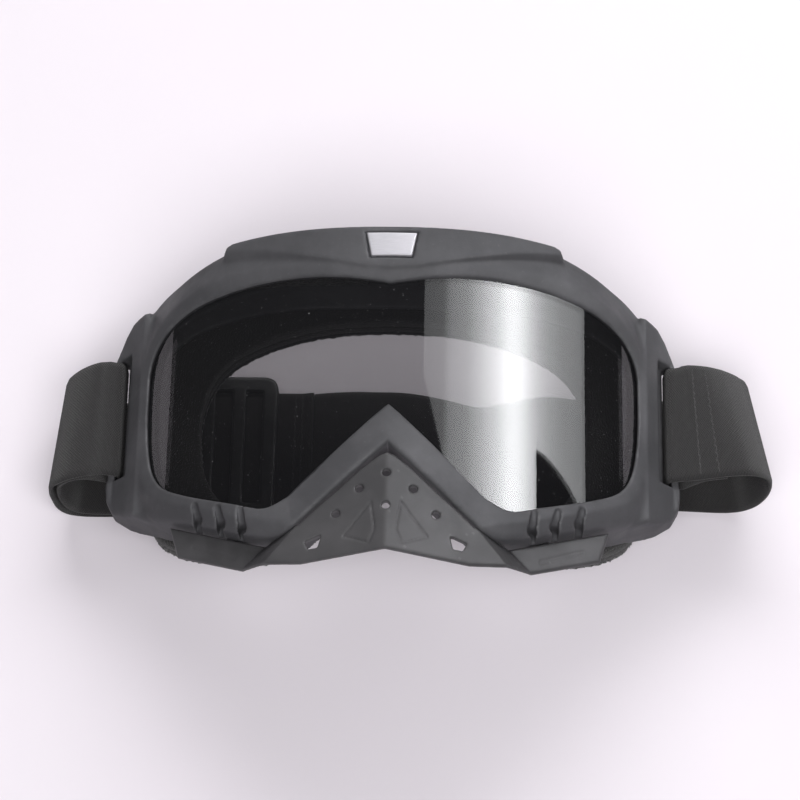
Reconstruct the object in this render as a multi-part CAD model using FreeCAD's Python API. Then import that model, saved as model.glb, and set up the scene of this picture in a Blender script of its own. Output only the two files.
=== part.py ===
"""Motorcycle goggles lying face up: a flexible frame with a cylindrical smoke lens, a beaked nose guard,
layered face foam and an elastic strap folded underneath.

Axes: +X to the wearer's left, +Y towards the brow, +Z out of the lens. The rear of the strap lies on Z = 0
and the origin is on its underside, in the plane of symmetry of the frame. Units are millimetres.
"""

import math
import os

import FreeCAD, Part

V = FreeCAD.Vector

# ---- driving dimensions ---------------------------------------------------------------------------------
LENS_RADIUS = 100.0          # front face of the cylindrical lens, axis along Y
LENS_TOP = 81.0              # height of that face in the plane of symmetry
LENS_THICK = 1.5
LENS_OVERLAP = 2.2           # how far the lens runs under the rim
LENS_PLAY = 0.1
CURVE_CENTRE = LENS_TOP - LENS_RADIUS   # every face in front is a cylinder about this height

RIM_RISE = 1.9               # rim band above the lens face
BODY_RISE = 0.3              # outer band above the lens face
BROW_RISE = 2.8              # brow plate above the lens face
LIP_THICK = 1.8              # frame lip behind the lens
LIP_BACK = LENS_THICK + LIP_THICK       # from the lens's front face to the back of that lip
BAND_ROOT = 6.0              # how far the rim and brow bands run down into the body
BADGE_THICK = 1.4
BADGE_PROUD = 0.3            # the badge stands this far above the brow plate
BADGE_GAP = 0.2              # clearance round the badge, 0.1 beneath it

REAR_TOP = 50.0              # height of the frame's rear flange in the plane of symmetry
FACE_RADIUS = 130.0          # curve of the flange and foam, to fit a forehead
FLANGE_THICK = 2.2
FOAM_LAYERS = (("foam_base", 6.5), ("foam_core", 5.5), ("fleece_liner", 2.0))
GLUE = 0.1                   # glue line at each face of the foam and of the vent filters

STRAP_WIDTH = 39.0
STRAP_THICK = 1.6
STRAP_Y = -2.5               # middle of the strap's width

BAR_X = (90.4, 92.8)         # strap bar of each ear
EAR_Z = (21.0, 29.5)
BAR_Z = (24.5, 29.5)
SLOT_INNER_X = 86.2
WEB_X = 88.15                # the slot is blind from SLOT_INNER_X out to here, below WEB_TOP
WEB_TOP = 26.0
SLOT_Y = (STRAP_Y - STRAP_WIDTH / 2 - 1.5, STRAP_Y + STRAP_WIDTH / 2 + 1.5)

GUARD_THICK = 3.0
PEG_RADIUS = 1.5
PEG_PLAY = 0.1
PEG_X = 48.0
PEG_Z = 57.5
PEG_Y = (-56.0, -47.5)       # root and tip of each peg
PEG_HOLE_DEPTH = 12.0        # from PEG_HOLE_Y upwards
PEG_HOLE_Y = -58.0
BOSS_HALF = 4.0              # half width of the block each peg grows from
BOSS_Y = (-58.5, -54.2)
BOSS_Z = (PEG_Z - 2.2, PEG_Z + 1.5)

VENT_WIDTH = 3.2
VENT_DEPTH = 0.6             # below the lens's front face
VENT_HOLE_RADIUS = 1.3
VENT_HOLE_LENGTH = 14.0
VENT_HOLE_AXIS = (0, 0.5, -0.87)
TOP_VENT_Y = (34, 60)
FILTER_THICK = 2.5

SLIDER_X = (-66.0, -40.0)
SLIDER_TOP = 6.9
SLIDER_SIDE = 5.0
SLIDER_BAR = 5.0
SLIDER_CORNER = 4.5
SLIDER_PLAY = 0.3            # above and below the strap
SLIDER_SIDE_PLAY = 0.5
SLIDER_MIDDLE_HALF = 2.2     # half width of its middle bar

FAR = 200.0                  # larger than the whole model
STRAIGHT = 0.003             # turns under this angle, in radians, are left straight

# ---- outlines, right half, from the top of the plane of symmetry round to the nose ------------------------
# Each is straight runs joined by tangent arcs, and then a straight line to the last point.
LENS_WINDOW = [(0, 25), (15, 27.3), (32, 28.2), (53, 27), (66, 24.3), (74, 19.3), (78, 12), (78.8, 0), (78, -17),
               (75.6, -27.5), (72, -33), (65, -37.6), (46, -44.9), (37.5, -47.2), (31, -44.2), (26.6, -39.9),
               (0, -15.1)]
RIM_EDGE = [(0, 28.8), (18, 31.2), (30, 31.6), (54, 32), (65, 29.5), (74, 24.8), (79.6, 17.5), (82, 6), (82, -6),
            (81.2, -20), (79.3, -29.5), (75, -36), (62, -43), (46, -48.7), (38, -51), (33, -52.2), (28.5, -54),
            (0, -28.2)]
BODY_EDGE = [(0, 43), (30, 43), (52, 42.2), (62, 40.4), (70, 38), (77, 35.2), (82.6, 31.2), (85.2, 25.5), (85.9, 17),
             (86, 0), (86, -15), (85.4, -28), (83, -35.4), (76.5, -41), (66, -45.9), (52, -51.3), (40, -55.3),
             (33, -56.2), (28.2, -54.4), (0, -28.6)]
CAVITY = [(0, 39), (30, 39), (50, 37), (61, 34.5), (68, 32), (75, 28), (80.5, 22), (82.6, 15), (83, 6), (83, -15),
          (82, -26), (78, -34), (66, -41), (52, -46.8), (41, -50), (34.5, -50), (29, -47.5), (0, -23.5)]
FLANGE_WINDOW = [(0, 29), (30, 29), (50, 27), (63, 23.5), (73, 15), (76.2, 0), (75.5, -14), (72.5, -27),
                 (62.5, -36.5), (46, -42.5), (35, -41.5), (28, -37), (0, -16)]
FOAM_EDGE = [(0, 42.5), (30, 42.5), (50, 40.5), (62, 37.5), (72, 33), (79, 27), (82.3, 19), (83, 8), (83, -15),
             (82, -27), (79.6, -36.2), (75.4, -42), (67.4, -47.2), (52.2, -52.4), (42, -54), (34, -52.8), (28, -49.5),
             (0, -25.5)]
FOAM_WINDOW = [(0, 25.4), (24, 24.3), (43, 20.4), (53, 16), (59, 10), (62.5, 0), (62.5, -12), (60, -24), (54, -33),
               (42, -38), (33, -36.5), (27, -31.5), (0, -10)]

BROW_CREST = [(0, 43.6), (28, 43.9), (42, 43.8), (51.5, 43.4)]
BROW_END = [(53.4, 42.6), (54.6, 39.6)]
BROW_CREASE = [(54, 38.6), (36, 35), (20, 32), (8.7, 29.9), (0, 28.9)]

BADGE = [(8.0, 41.2), (6.4, 33.2)]   # right-hand corners, top and bottom

EAR_UPPER = [(80, 31.4), (84.2, 30.4), (86.4, 29.4), (89.0, 26.0), (91.2, 21.5), (92.4, 18)]
EAR_LOWER = [(93.3, -26), (92.8, -30.5), (90.3, -35), (85, -38.2), (76.5, -40.6)]

# nose guard facets: (x, y, z) of the front face
GUARD_APEX = (0, -31.9, 84.0)
GUARD_RIDGE_END = (0, -63.5, 87.9)
GUARD_BEAK_CORNER = (36.8, -65.5, 76.8)
GUARD_FOLD = (28, -55.2, 78.3)
GUARD_WING = [(37.4, -57.4, 66.5), (69, -45.9, 50), (65.8, -56.2, 52.5), (44.2, -63.8, 64.3)]
GUARD_HOLES = [(0, -38.8), (0, -49.5), (8.15, -43.4), (15.1, -51.2)]
GUARD_HOLE_RADIUS = 1.3
GUARD_D_HOLE = [(19.9, -58.2), (23.9, -59.8), (23.0, -61.7), (20.7, -61.4)]

BOTTOM_VENTS = [(44.6, -46.4, -53.3), (51.7, -44.7, -51.1), (59.4, -42.5, -48.4)]   # x, top y, bottom y
TOP_VENTS = [(16, 64), (32, 61), (47, 55)]                                           # x, z
TOP_VENT_SIZE = (11.0, 6.5)


# ---- helpers ------------------------------------------------------------------------------------------------
def rounded(points, radii=None):
    """Edges of straight runs joined by tangent arcs. Without radii, an arc takes most of its shorter run."""
    edges = []
    start = points[0]
    for k in range(1, len(points) - 1):
        before, point, after = points[k - 1:k + 2]
        arrive, leave = (point - before).normalize(), (after - point).normalize()
        half_turn = arrive.getAngle(leave) / 2
        if half_turn < STRAIGHT:
            continue
        if radii:
            radius = radii[k]
        else:
            radius = 0.45 * min((point - before).Length, (after - point).Length) / math.tan(half_turn)
        reach = radius * math.tan(half_turn)
        inward = (leave - arrive).normalize()
        middle = point + inward * (radius / math.cos(half_turn) - radius)
        edges.append(Part.makeLine(start, point - arrive * reach))
        edges.append(Part.Arc(point - arrive * reach, middle, point + leave * reach).toShape())
        start = point + leave * reach
    return edges + [Part.makeLine(start, points[-1])]


def outline(points, z=0.0):
    return rounded([V(x, y, z) for x, y in points])


def mirrored(points):
    return [(-x, y) for x, y in reversed(points)]


def closed_wire(half, z=0.0):
    """The closed outline of a half: its rounded part, its straight end, and their mirror images."""
    (end_x, end_y), (nose_x, nose_y) = half[-2:]
    smooth = mirrored(half[:-1]) + half[1:-1]
    nose = V(nose_x, nose_y, z)
    edges = outline(smooth, z) + [Part.makeLine(V(end_x, end_y, z), nose), Part.makeLine(nose, V(-end_x, end_y, z))]
    return Part.Wire(edges)


def prism(wire, low=0.0, high=FAR):
    moved = wire.copy()
    moved.translate(V(0, 0, low - wire.BoundBox.ZMin))
    return Part.Face(moved).extrude(V(0, 0, high - low))


def polygon(points, z=0.0):
    corners = [V(x, y, z) for x, y in points]
    return Part.makePolygon(corners + corners[:1])


def under(top, radius):
    """Everything below a cylinder along Y whose crest is at that height."""
    centre = top - radius
    left, crest, right = V(-radius, -FAR, centre), V(0, -FAR, top), V(radius, -FAR, centre)
    low_left, low_right = V(-radius, -FAR, -FAR), V(radius, -FAR, -FAR)
    edges = [Part.Arc(left, crest, right).toShape(), Part.makeLine(right, low_right),
             Part.makeLine(low_right, low_left), Part.makeLine(low_left, left)]
    return Part.Face(Part.Wire(edges)).extrude(V(0, 2 * FAR, 0))


def under_front(rise):
    """Everything below the lens's front face raised by that much."""
    return under(LENS_TOP + rise, LENS_RADIUS + rise)


def box(x, y, z):
    return Part.makeBox(x[1] - x[0], y[1] - y[0], z[1] - z[0], V(x[0], y[0], z[0]))


def both_sides(shape):
    return shape.fuse(shape.mirror(V(0, 0, 0), V(1, 0, 0)))


def mirror_x(shape):
    return shape.mirror(V(0, 0, 0), V(1, 0, 0))


def band(route, thick, width, y):
    """A flat strap of that thickness and width, whose middle line follows the route."""
    path = Part.Wire(rounded([V(x, 0, z) for x, z, _ in route], [radius for _, _, radius in route]))
    (x, z, _), (next_x, next_z, _) = route[0], route[1]
    across = V(next_z - z, 0, x - next_x).normalize() * (thick / 2)
    low, high = V(x, y - width / 2, z), V(x, y + width / 2, z)
    corners = [low + across, high + across, high - across, low - across, low + across]
    strip = path.makePipeShell([Part.makePolygon(corners)], True, False)
    print(f"strap path {path.Length:.1f} mm, volume {strip.Volume / (path.Length * thick * width):.4f} of the ideal")
    return strip


def export(name, *shapes):
    solids = [s for shape in shapes for s in shape.Solids]
    for s in solids:
        assert s.isValid() and s.Volume > 0, name
    out = solids[0] if len(solids) == 1 else Part.Compound(solids)
    out.exportStep(f"parts/{name}.step")
    print(f"{name:24s} {len(solids)} solid(s) {sum(s.Volume for s in solids) / 1000:8.2f} cm3")
    return out


# ---- the frame ------------------------------------------------------------------------------------------------
def brow_plate():
    edge = mirrored(BROW_CREST) + BROW_CREST[1:]
    corners = [BROW_CREST[-1]] + BROW_END + [BROW_CREASE[0]]
    edges = outline(edge) + outline(BROW_CREASE[:-1] + mirrored(BROW_CREASE))
    for a, b in zip(corners, corners[1:]):
        edges += [Part.makeLine(V(*a, 0), V(*b, 0)), Part.makeLine(V(-a[0], a[1], 0), V(-b[0], b[1], 0))]
    return prism(Part.Wire(Part.__sortEdges__(edges))).common(under_front(BROW_RISE)).cut(under_front(-BAND_ROOT))


def ear():
    """One side's strap ear: a flange with a window, whose outer edge is the bar that holds the strap."""
    edge = EAR_UPPER + EAR_LOWER
    plate = prism(Part.Wire(outline(edge) + [Part.makeLine(V(*edge[-1], 0), V(*edge[0], 0))]), *EAR_Z)
    window = box((WEB_X, BAR_X[0]), SLOT_Y, (0, FAR))
    recess = box((SLOT_INNER_X, BAR_X[0]), SLOT_Y, (WEB_TOP, FAR))
    under_bar = box((WEB_X, FAR), SLOT_Y, (0, BAR_Z[0]))
    outside = box((BAR_X[1], FAR), SLOT_Y, (0, FAR))
    return plate.cut(window).cut(recess).cut(under_bar).cut(outside)


def vent_cuts():
    cuts = []
    for x, top, bottom in BOTTOM_VENTS:
        slot = box((x - VENT_WIDTH / 2, x + VENT_WIDTH / 2), (bottom, top), (0, FAR))
        cuts.append(slot.cut(under_front(-VENT_DEPTH)))
        surface = CURVE_CENTRE + math.sqrt(LENS_RADIUS ** 2 - x ** 2)
        start = V(x, bottom + VENT_HOLE_RADIUS, surface + 2)
        cuts.append(Part.makeCylinder(VENT_HOLE_RADIUS, VENT_HOLE_LENGTH, start, V(*VENT_HOLE_AXIS)))
    for x, z in TOP_VENTS:
        w, h = TOP_VENT_SIZE
        cuts.append(box((x - w / 2, x + w / 2), TOP_VENT_Y, (z - h / 2, z + h / 2)))
    return cuts


def badge_block(grow):
    (tx, ty), (bx, by) = BADGE
    corners = [(-tx - grow, ty + grow), (tx + grow, ty + grow), (bx + grow, by - grow), (-bx - grow, by - grow)]
    return prism(polygon(corners))


def lens_block(grow):
    return prism(closed_wire(LENS_WINDOW).makeOffset2D(LENS_OVERLAP + grow, 2))


def build_frame():
    body = prism(closed_wire(BODY_EDGE)).common(under_front(BODY_RISE))
    rim = prism(closed_wire(RIM_EDGE)).common(under_front(RIM_RISE)).cut(under_front(-BAND_ROOT))
    frame = body.fuse(rim).fuse(brow_plate()).fuse(both_sides(ear())).cut(under(REAR_TOP, FACE_RADIUS))
    hollow = prism(closed_wire(CAVITY), -10).common(under_front(-LIP_BACK - LENS_PLAY))
    hollow = hollow.cut(under(REAR_TOP + FLANGE_THICK, FACE_RADIUS + FLANGE_THICK))
    frame = frame.cut(hollow)
    frame = frame.cut(prism(closed_wire(FLANGE_WINDOW), -10).common(under_front(-LIP_BACK - 4)))
    frame = frame.cut(prism(closed_wire(LENS_WINDOW)).cut(under_front(-LIP_BACK - 5)))
    groove = lens_block(LENS_PLAY).common(under_front(LENS_PLAY / 2)).cut(under_front(-LENS_THICK - LENS_PLAY / 2))
    frame = frame.cut(groove)
    recess_floor = BROW_RISE + BADGE_PROUD - BADGE_THICK - BADGE_GAP / 2
    frame = frame.cut(badge_block(BADGE_GAP).cut(under_front(recess_floor)))
    for cut in vent_cuts():
        frame = frame.cut(both_sides(cut))
    peg_hole = Part.makeCylinder(PEG_RADIUS + PEG_PLAY, PEG_HOLE_DEPTH, V(PEG_X, PEG_HOLE_Y, PEG_Z), V(0, 1, 0))
    return frame.cut(both_sides(peg_hole)).removeSplitter()


def build_lens():
    return lens_block(0).common(under_front(0)).cut(under_front(-LENS_THICK))


def build_badge():
    top = BROW_RISE + BADGE_PROUD
    return badge_block(0).common(under_front(top)).cut(under_front(top - BADGE_THICK))


# ---- the nose guard ---------------------------------------------------------------------------------------------
def facet(corners, thick=GUARD_THICK):
    face = Part.Face(Part.makePolygon([V(*c) for c in corners] + [V(*corners[0])]))
    return face.extrude(V(0, 0, -thick))


def build_guard():
    inner_top, outer_top, outer_low, inner_low = GUARD_WING
    half = facet([GUARD_APEX, GUARD_FOLD, GUARD_RIDGE_END])
    for corners in ([GUARD_FOLD, GUARD_BEAK_CORNER, GUARD_RIDGE_END],
                    [GUARD_FOLD, inner_top, GUARD_BEAK_CORNER], [inner_top, inner_low, GUARD_BEAK_CORNER],
                    [inner_top, outer_top, inner_low], [outer_top, outer_low, inner_low]):
        half = half.fuse(facet(corners))
    boss = box((PEG_X - BOSS_HALF, PEG_X + BOSS_HALF), BOSS_Y, BOSS_Z)
    peg = Part.makeCylinder(PEG_RADIUS, PEG_Y[1] - PEG_Y[0], V(PEG_X, PEG_Y[0], PEG_Z), V(0, 1, 0))
    half = half.fuse(boss).fuse(peg)
    for x, y in GUARD_HOLES:
        if x:
            half = half.cut(Part.makeCylinder(GUARD_HOLE_RADIUS, 60, V(x, y, 50)))
    half = half.cut(prism(polygon(GUARD_D_HOLE), 40, 100))
    guard = both_sides(half)
    for x, y in GUARD_HOLES:
        if not x:
            guard = guard.cut(Part.makeCylinder(GUARD_HOLE_RADIUS, 60, V(x, y, 50)))
    return guard.removeSplitter()


# ---- foam and filters ---------------------------------------------------------------------------------------------
def build_foam():
    ring = prism(closed_wire(FOAM_EDGE), -20).cut(prism(closed_wire(FOAM_WINDOW), -20))
    top = REAR_TOP
    layers = {}
    for name, thick in FOAM_LAYERS:
        layers[name] = ring.common(under(top - GLUE, FACE_RADIUS)).cut(under(top - thick, FACE_RADIUS))
        top -= thick
    return layers


def wall_strip(x, y, z, inward):
    """A strip of filter foam stuck to the inside of the frame's wall; inward is +1 or -1 along Y."""
    near, far = prism(closed_wire(CAVITY), -20), prism(closed_wire(CAVITY), -20)
    near.translate(V(0, inward * GLUE, 0))
    far.translate(V(0, inward * (GLUE + FILTER_THICK), 0))
    room = under_front(-LIP_BACK - 1).cut(under(REAR_TOP + FLANGE_THICK + GLUE, FACE_RADIUS))
    return near.cut(far).common(box(x, y, z)).common(room)


def build_filters():
    top = wall_strip((8, 54), (20, 45), (51, 68), -1)
    low = wall_strip((40.5, 62), (-60, -36), (47, 62), 1)
    return top, low.cut(Part.makeCylinder(PEG_RADIUS + 0.6, 16, V(PEG_X, -60, PEG_Z), V(0, 1, 0)))


# ---- strap --------------------------------------------------------------------------------------------------------
BAR_GAP = 0.3 + STRAP_THICK / 2
SLOT_LINE = BAR_X[0] - BAR_GAP
OVER_BAR = BAR_Z[1] + BAR_GAP
UNDER_BAR = BAR_Z[0] - BAR_GAP
REST = STRAP_THICK / 2               # middle of the strap where it lies on the surface
RAISED = REST + 1.5                  # and where it is lifted by the slider
LAYER = STRAP_THICK + 0.35           # from the middle of one layer to the next

SEWN_FROM, SEWN_TO = (94.0, OVER_BAR), (106.0, 38.8)   # the outer face over the sewn end
TAIL_X = -28.0
STITCHES = 12
STITCH_PITCH = 3.0
STITCH_LENGTH = 0.7 * STITCH_PITCH
STITCH_THICK = (0.5, 0.35)           # along the strap, and above its surface

STRAP_ROUTE = [   # x, z, bend radius: the sewn end, round the ear bar, the loop, under the foam, and back
    (106.0, 36.3, 0), (98.0, 31.4, 3), (95.2, UNDER_BAR, 2), (SLOT_LINE, UNDER_BAR, 1.05),
    (SLOT_LINE, OVER_BAR, 1.05), (*SEWN_FROM, 4), (*SEWN_TO, 8), (115.0, 39.2, 7), (121.2, 27.0, 9),
    (117.5, 6.0, 9), (108.0, REST, 8), (-6.0, REST, 12), (-16.0, RAISED, 12), (-88.0, RAISED, 12),
    (-95.0, REST, 9), (-104.5, REST, 7), (-110.0, 7.5, 9), (-110.6, 26.0, 7), (-105.0, 34.4, 5),
    (-98.5, 34.2, 4), (-94.0, OVER_BAR, 4), (-SLOT_LINE, OVER_BAR, 1.05), (-SLOT_LINE, UNDER_BAR, 1.05),
    (-95.0, UNDER_BAR, 2), (-100.0, 31.9, 2), (-104.0, 32.2, 2.5), (-108.6, 25.4, 6), (-108.1, 8.0, 6),
    (-103.7, REST + LAYER, 4), (-95.6, REST + LAYER, 5), (-88.4, RAISED + LAYER, 8),
    (TAIL_X, RAISED + LAYER, 0)]


def build_slider():
    low = STRAP_Y - STRAP_WIDTH / 2 - SLIDER_SIDE_PLAY
    high = STRAP_Y + STRAP_WIDTH / 2 + SLIDER_SIDE_PLAY
    x0, x1 = SLIDER_X
    outer = box((x0, x1), (low - SLIDER_SIDE, high + SLIDER_SIDE), (0, SLIDER_TOP))
    corners = [e for e in outer.Edges if abs(e.tangentAt(e.FirstParameter).z) > 0.9]
    outer = outer.makeFillet(SLIDER_CORNER, corners)
    way_top = RAISED + LAYER + REST + SLIDER_PLAY
    strap_way = box((x0 - 1, x1 + 1), (low, high), (RAISED - REST - SLIDER_PLAY, way_top))
    window = box((x0 + SLIDER_BAR, x1 - SLIDER_BAR), (low, high), (-1, SLIDER_TOP + 1))
    middle = (x0 + x1) / 2
    bar = box((middle - SLIDER_MIDDLE_HALF, middle + SLIDER_MIDDLE_HALF), (low, high), (way_top, SLIDER_TOP))
    return outer.cut(strap_way).cut(window).fuse(bar).removeSplitter()


def stitch_row(x, z, slope):
    """A row of thread across the strap's outer face, through (x, z) on the middle of its thickness."""
    row = []
    for k in range(STITCHES):
        y = STRAP_Y + STITCH_PITCH * (k - (STITCHES - 1) / 2)
        corner = V(-STITCH_THICK[0] / 2, y - STITCH_LENGTH / 2, REST)
        stitch = Part.makeBox(STITCH_THICK[0], STITCH_LENGTH, STITCH_THICK[1], corner)
        stitch.rotate(V(0, 0, 0), V(0, 1, 0), -slope)
        stitch.translate(V(x, 0, z))
        row.append(stitch)
    return row


def build_stitching():
    """Two rows where the strap's right end is sewn back on itself, and one along the hem of its tail."""
    rise, run = SEWN_TO[1] - SEWN_FROM[1], SEWN_TO[0] - SEWN_FROM[0]
    end_rows = []
    for part in (0.38, 0.85):
        x, z = SEWN_FROM[0] + part * run, SEWN_FROM[1] + part * rise
        end_rows += stitch_row(x, z, math.degrees(math.atan2(rise, run)))
    return end_rows, stitch_row(TAIL_X - 4, RAISED + LAYER, 0)


def main():
    os.makedirs("parts", exist_ok=True)
    frame = build_frame()
    export("frame_shell", frame)
    export("lens", build_lens())
    export("brow_badge", build_badge())
    export("nose_guard", build_guard())
    for name, layer in build_foam().items():
        export(name, layer)
    top, low = build_filters()
    export("top_vent_filter_left", top)
    export("top_vent_filter_right", mirror_x(top))
    export("bottom_vent_filter_left", low)
    export("bottom_vent_filter_right", mirror_x(low))
    export("strap", band(STRAP_ROUTE, STRAP_THICK, STRAP_WIDTH, STRAP_Y))
    export("strap_slider", build_slider())
    end_rows, tail_row = build_stitching()
    export("end_stitching", *end_rows)
    export("tail_stitching", *tail_row)


main()
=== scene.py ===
"""Motorcycle goggles lying face up: how each piece looks.

Shapes are written in millimetres in the frame's axes: +X across, +Y towards the brow, +Z out of the lens.
The hard and foam pieces are distance fields, negative inside, meshed by skin(); the strap is a swept band.
"""

import math

import bpy
import numpy as np
from mathutils import Matrix, Vector


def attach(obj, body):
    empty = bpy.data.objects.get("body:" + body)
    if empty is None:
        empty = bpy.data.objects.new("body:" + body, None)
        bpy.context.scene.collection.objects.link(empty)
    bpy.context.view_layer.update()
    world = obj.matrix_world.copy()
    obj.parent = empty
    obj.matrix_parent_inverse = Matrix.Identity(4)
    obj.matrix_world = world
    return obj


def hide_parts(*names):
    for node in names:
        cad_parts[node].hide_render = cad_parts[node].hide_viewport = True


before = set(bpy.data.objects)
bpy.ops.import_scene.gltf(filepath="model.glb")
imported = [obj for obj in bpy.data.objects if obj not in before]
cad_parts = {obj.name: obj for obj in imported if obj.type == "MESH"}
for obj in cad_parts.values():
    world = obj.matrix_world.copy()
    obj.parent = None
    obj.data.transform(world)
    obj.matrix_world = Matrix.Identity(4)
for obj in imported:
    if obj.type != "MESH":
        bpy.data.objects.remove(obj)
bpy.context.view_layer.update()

MM = 0.001
rng = np.random.default_rng(7)

# ---- driving dimensions, the same as the CAD's -----------------------------------------------------------
LENS_RADIUS, LENS_TOP, LENS_THICK, LENS_OVERLAP = 100.0, 81.0, 1.5, 2.2
RIM_RISE, BROW_RISE = 1.9, 2.8             # above the lens face
LIP = 3.4                    # from the lens face to the back of the lip behind it
REAR_TOP, FACE_RADIUS, FLANGE_THICK = 50.0, 130.0, 2.2
FOAM_LAYERS = (("foam_base", 6.5), ("foam_core", 5.5), ("fleece_liner", 2.0))
GLUE = 0.1
STRAP_WIDTH, STRAP_THICK, STRAP_Y = 39.0, 1.6, -2.5
BAR_X, BAR_Z, EAR_Z, SLOT_INNER_X = (90.4, 92.8), (24.5, 29.5), (21.0, 29.5), 86.2
WEB_X, WEB_TOP = 88.15, 26.0   # the slot's inner side is blind below this height, out to this X
SLOT_HALF = STRAP_WIDTH / 2 + 1.5
GUARD_THICK, PEG_X, PEG_Z, PEG_RADIUS = 2.8, 48.0, 57.5, 1.5
FILTER_THICK = 2.5
SLIDER_X, SLIDER_TOP, SLIDER_SIDE, SLIDER_BAR = (-66.0, -40.0), 6.9, 5.0, 5.0
SLIDER_WAY, SLIDER_MIDDLE_HALF = (1.2, 5.35), 2.2   # the strap's way through in Z; half the middle bar

# ---- slopes of the frame's surface -----------------------------------------------------------------------
RIM_FALL, RIM_FALL_EASE, RIM_DISH = 0.5, 0.3, 0.22   # per mm outside the crease, its ease by the brow, inside
NOSE_RISE = 0.06                           # per mm towards the plane of symmetry, below the lens
BROW_WALL, BROW_WALL_SLOPE = 2.4, 0.7      # width and slope of the brow plate's lower edge
BROW_ROOT = 9.0                            # how far the brow plate reaches below the lens face
EAR_SLOPE = 1.3                            # rise of an ear per mm towards the frame
FACE_STEEPNESS = 0.93                      # scales the face's field towards a true distance

# ---- outlines, right half, from the top of the plane of symmetry round to the nose -----------------------
LENS_WINDOW = [(0, 25), (15, 27.3), (32, 28.2), (53, 27), (66, 24.3), (74, 19.3), (78, 12), (78.8, 0),
               (78, -17), (75.6, -27.5), (72, -33), (65, -37.6), (46, -44.9), (37.5, -47.2), (31, -44.2),
               (26.6, -39.9), (0, -15.1)]
RIM_EDGE = [(0, 28.8), (18, 31.2), (30, 31.6), (54, 32), (65, 29.5), (74, 24.8), (79.6, 17.5), (82, 6),
            (82, -6), (81.2, -20), (79.3, -29.5), (75, -36), (62, -43), (46, -48.7), (38, -51), (33, -52.2),
            (28.5, -54), (0, -28.2)]
BODY_EDGE = [(0, 43), (30, 43), (52, 42.2), (62, 40.4), (70, 38), (77, 35.2), (82.6, 31.2), (85.2, 25.5),
             (85.9, 17), (86, 0), (86, -15), (85.4, -28), (83, -35.4), (76.5, -41), (66, -45.9),
             (52, -51.3), (40, -55.3), (33, -56.2), (28.2, -54.4), (0, -28.6)]
CAVITY = [(0, 39), (30, 39), (50, 37), (61, 34.5), (68, 32), (75, 28), (80.5, 22), (82.6, 15), (83, 6),
          (83, -15), (82, -26), (78, -34), (66, -41), (52, -46.8), (41, -50), (34.5, -50), (29, -47.5),
          (0, -23.5)]
FLANGE_WINDOW = [(0, 29), (30, 29), (50, 27), (63, 23.5), (73, 15), (76.2, 0), (75.5, -14), (72.5, -27),
                 (62.5, -36.5), (46, -42.5), (35, -41.5), (28, -37), (0, -16)]
FOAM_EDGE = [(0, 42.5), (30, 42.5), (50, 40.5), (62, 37.5), (72, 33), (79, 27), (82.3, 19), (83, 8),
             (83, -15), (82, -27), (79.6, -36.2), (75.4, -42), (67.4, -47.2), (52.4, -51.4), (42, -52.6),
             (34, -51.8), (28, -49.5), (0, -25.5)]
FOAM_WINDOW = [(0, 25.4), (24, 24.3), (43, 20.4), (53, 16), (59, 10), (62.5, 0), (62.5, -12), (60, -24),
               (54, -33), (42, -38), (33, -36.5), (27, -31.5), (0, -10)]
BROW_CREST = [(0, 43.6), (28, 43.9), (42, 43.8), (51.5, 43.4)]
BROW_END = [(53.4, 42.6), (54.6, 39.6)]
BROW_CREASE = [(54, 38.6), (36, 35), (20, 32), (8.7, 29.9), (0, 28.9)]
BADGE = [(8.0, 41.2), (6.4, 33.2)]
EAR = [(80, 31.4), (84.2, 30.4), (86.4, 29.4), (89.0, 26.0), (91.2, 21.5), (92.4, 18), (93.3, -26),
       (92.8, -30.5), (90.3, -35), (85, -38.2), (76.5, -40.6)]
# Each groove runs from its first point down to a round hole at its second.
BOTTOM_VENTS = [((45, -46.6), (44.2, -52.4)), ((52.4, -44.9), (51.1, -50.1)), ((60, -42.7), (58.8, -47.4))]
VENT_HOLE_RADIUS, VENT_HOLE_DEPTH = 1.45, 7
TOP_VENTS = [(16, 64), (32, 61), (47, 55)]   # x, z
TOP_VENT_HALF, TOP_VENT_Y = (5.5, 3.25), 34

GUARD_EDGE = [(0, -31.9), (2.2, -32.6), (7.7, -36.6), (15.7, -43.9), (20.4, -47.9), (26.6, -53.7),
              (37.2, -57.1), (69.0, -45.8), (65.8, -56.2), (44.2, -63.8), (36.8, -65.5), (25.4, -66.4),
              (11.5, -64.8), (0, -63.5)]
# Height of the beak's face and of the wing's: at the origin, per mm of |x|, per mm of y.
GUARD_BEAK = (80.1, -0.308, -0.123)
GUARD_WING = (80.45, -0.50, -0.0853)
BEAK_SIDE = ((28.0, -54.9), (36.8, -65.5))   # where the beak's face turns down towards the wing
WING_SIDE = ((37.2, -57.1), (44.0, -63.4))   # where that slope meets the wing plate
GUARD_HOLES = [(0, -38.8), (0, -49.5), (8.15, -43.4), (15.1, -51.2)]
GUARD_HOLE_RADIUS = 1.25
BOSS_HALF, BOSS_Y, PEG_Y = 3.5, (-58.5, -54.4), (-57.0, -47.6)
GUARD_D_HOLE = [(19.9, -58.2), (23.9, -59.8), (23.0, -61.7), (20.7, -61.4)]
BEAK_TRIANGLE = [(4.5, -48.2), (12.6, -58.8), (4.9, -61.6), (3.2, -57.2)]
WING_LINE = [(47.1, -59.2), (60.8, -53.4), (60.9, -54.3), (47.2, -60.1)]


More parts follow.
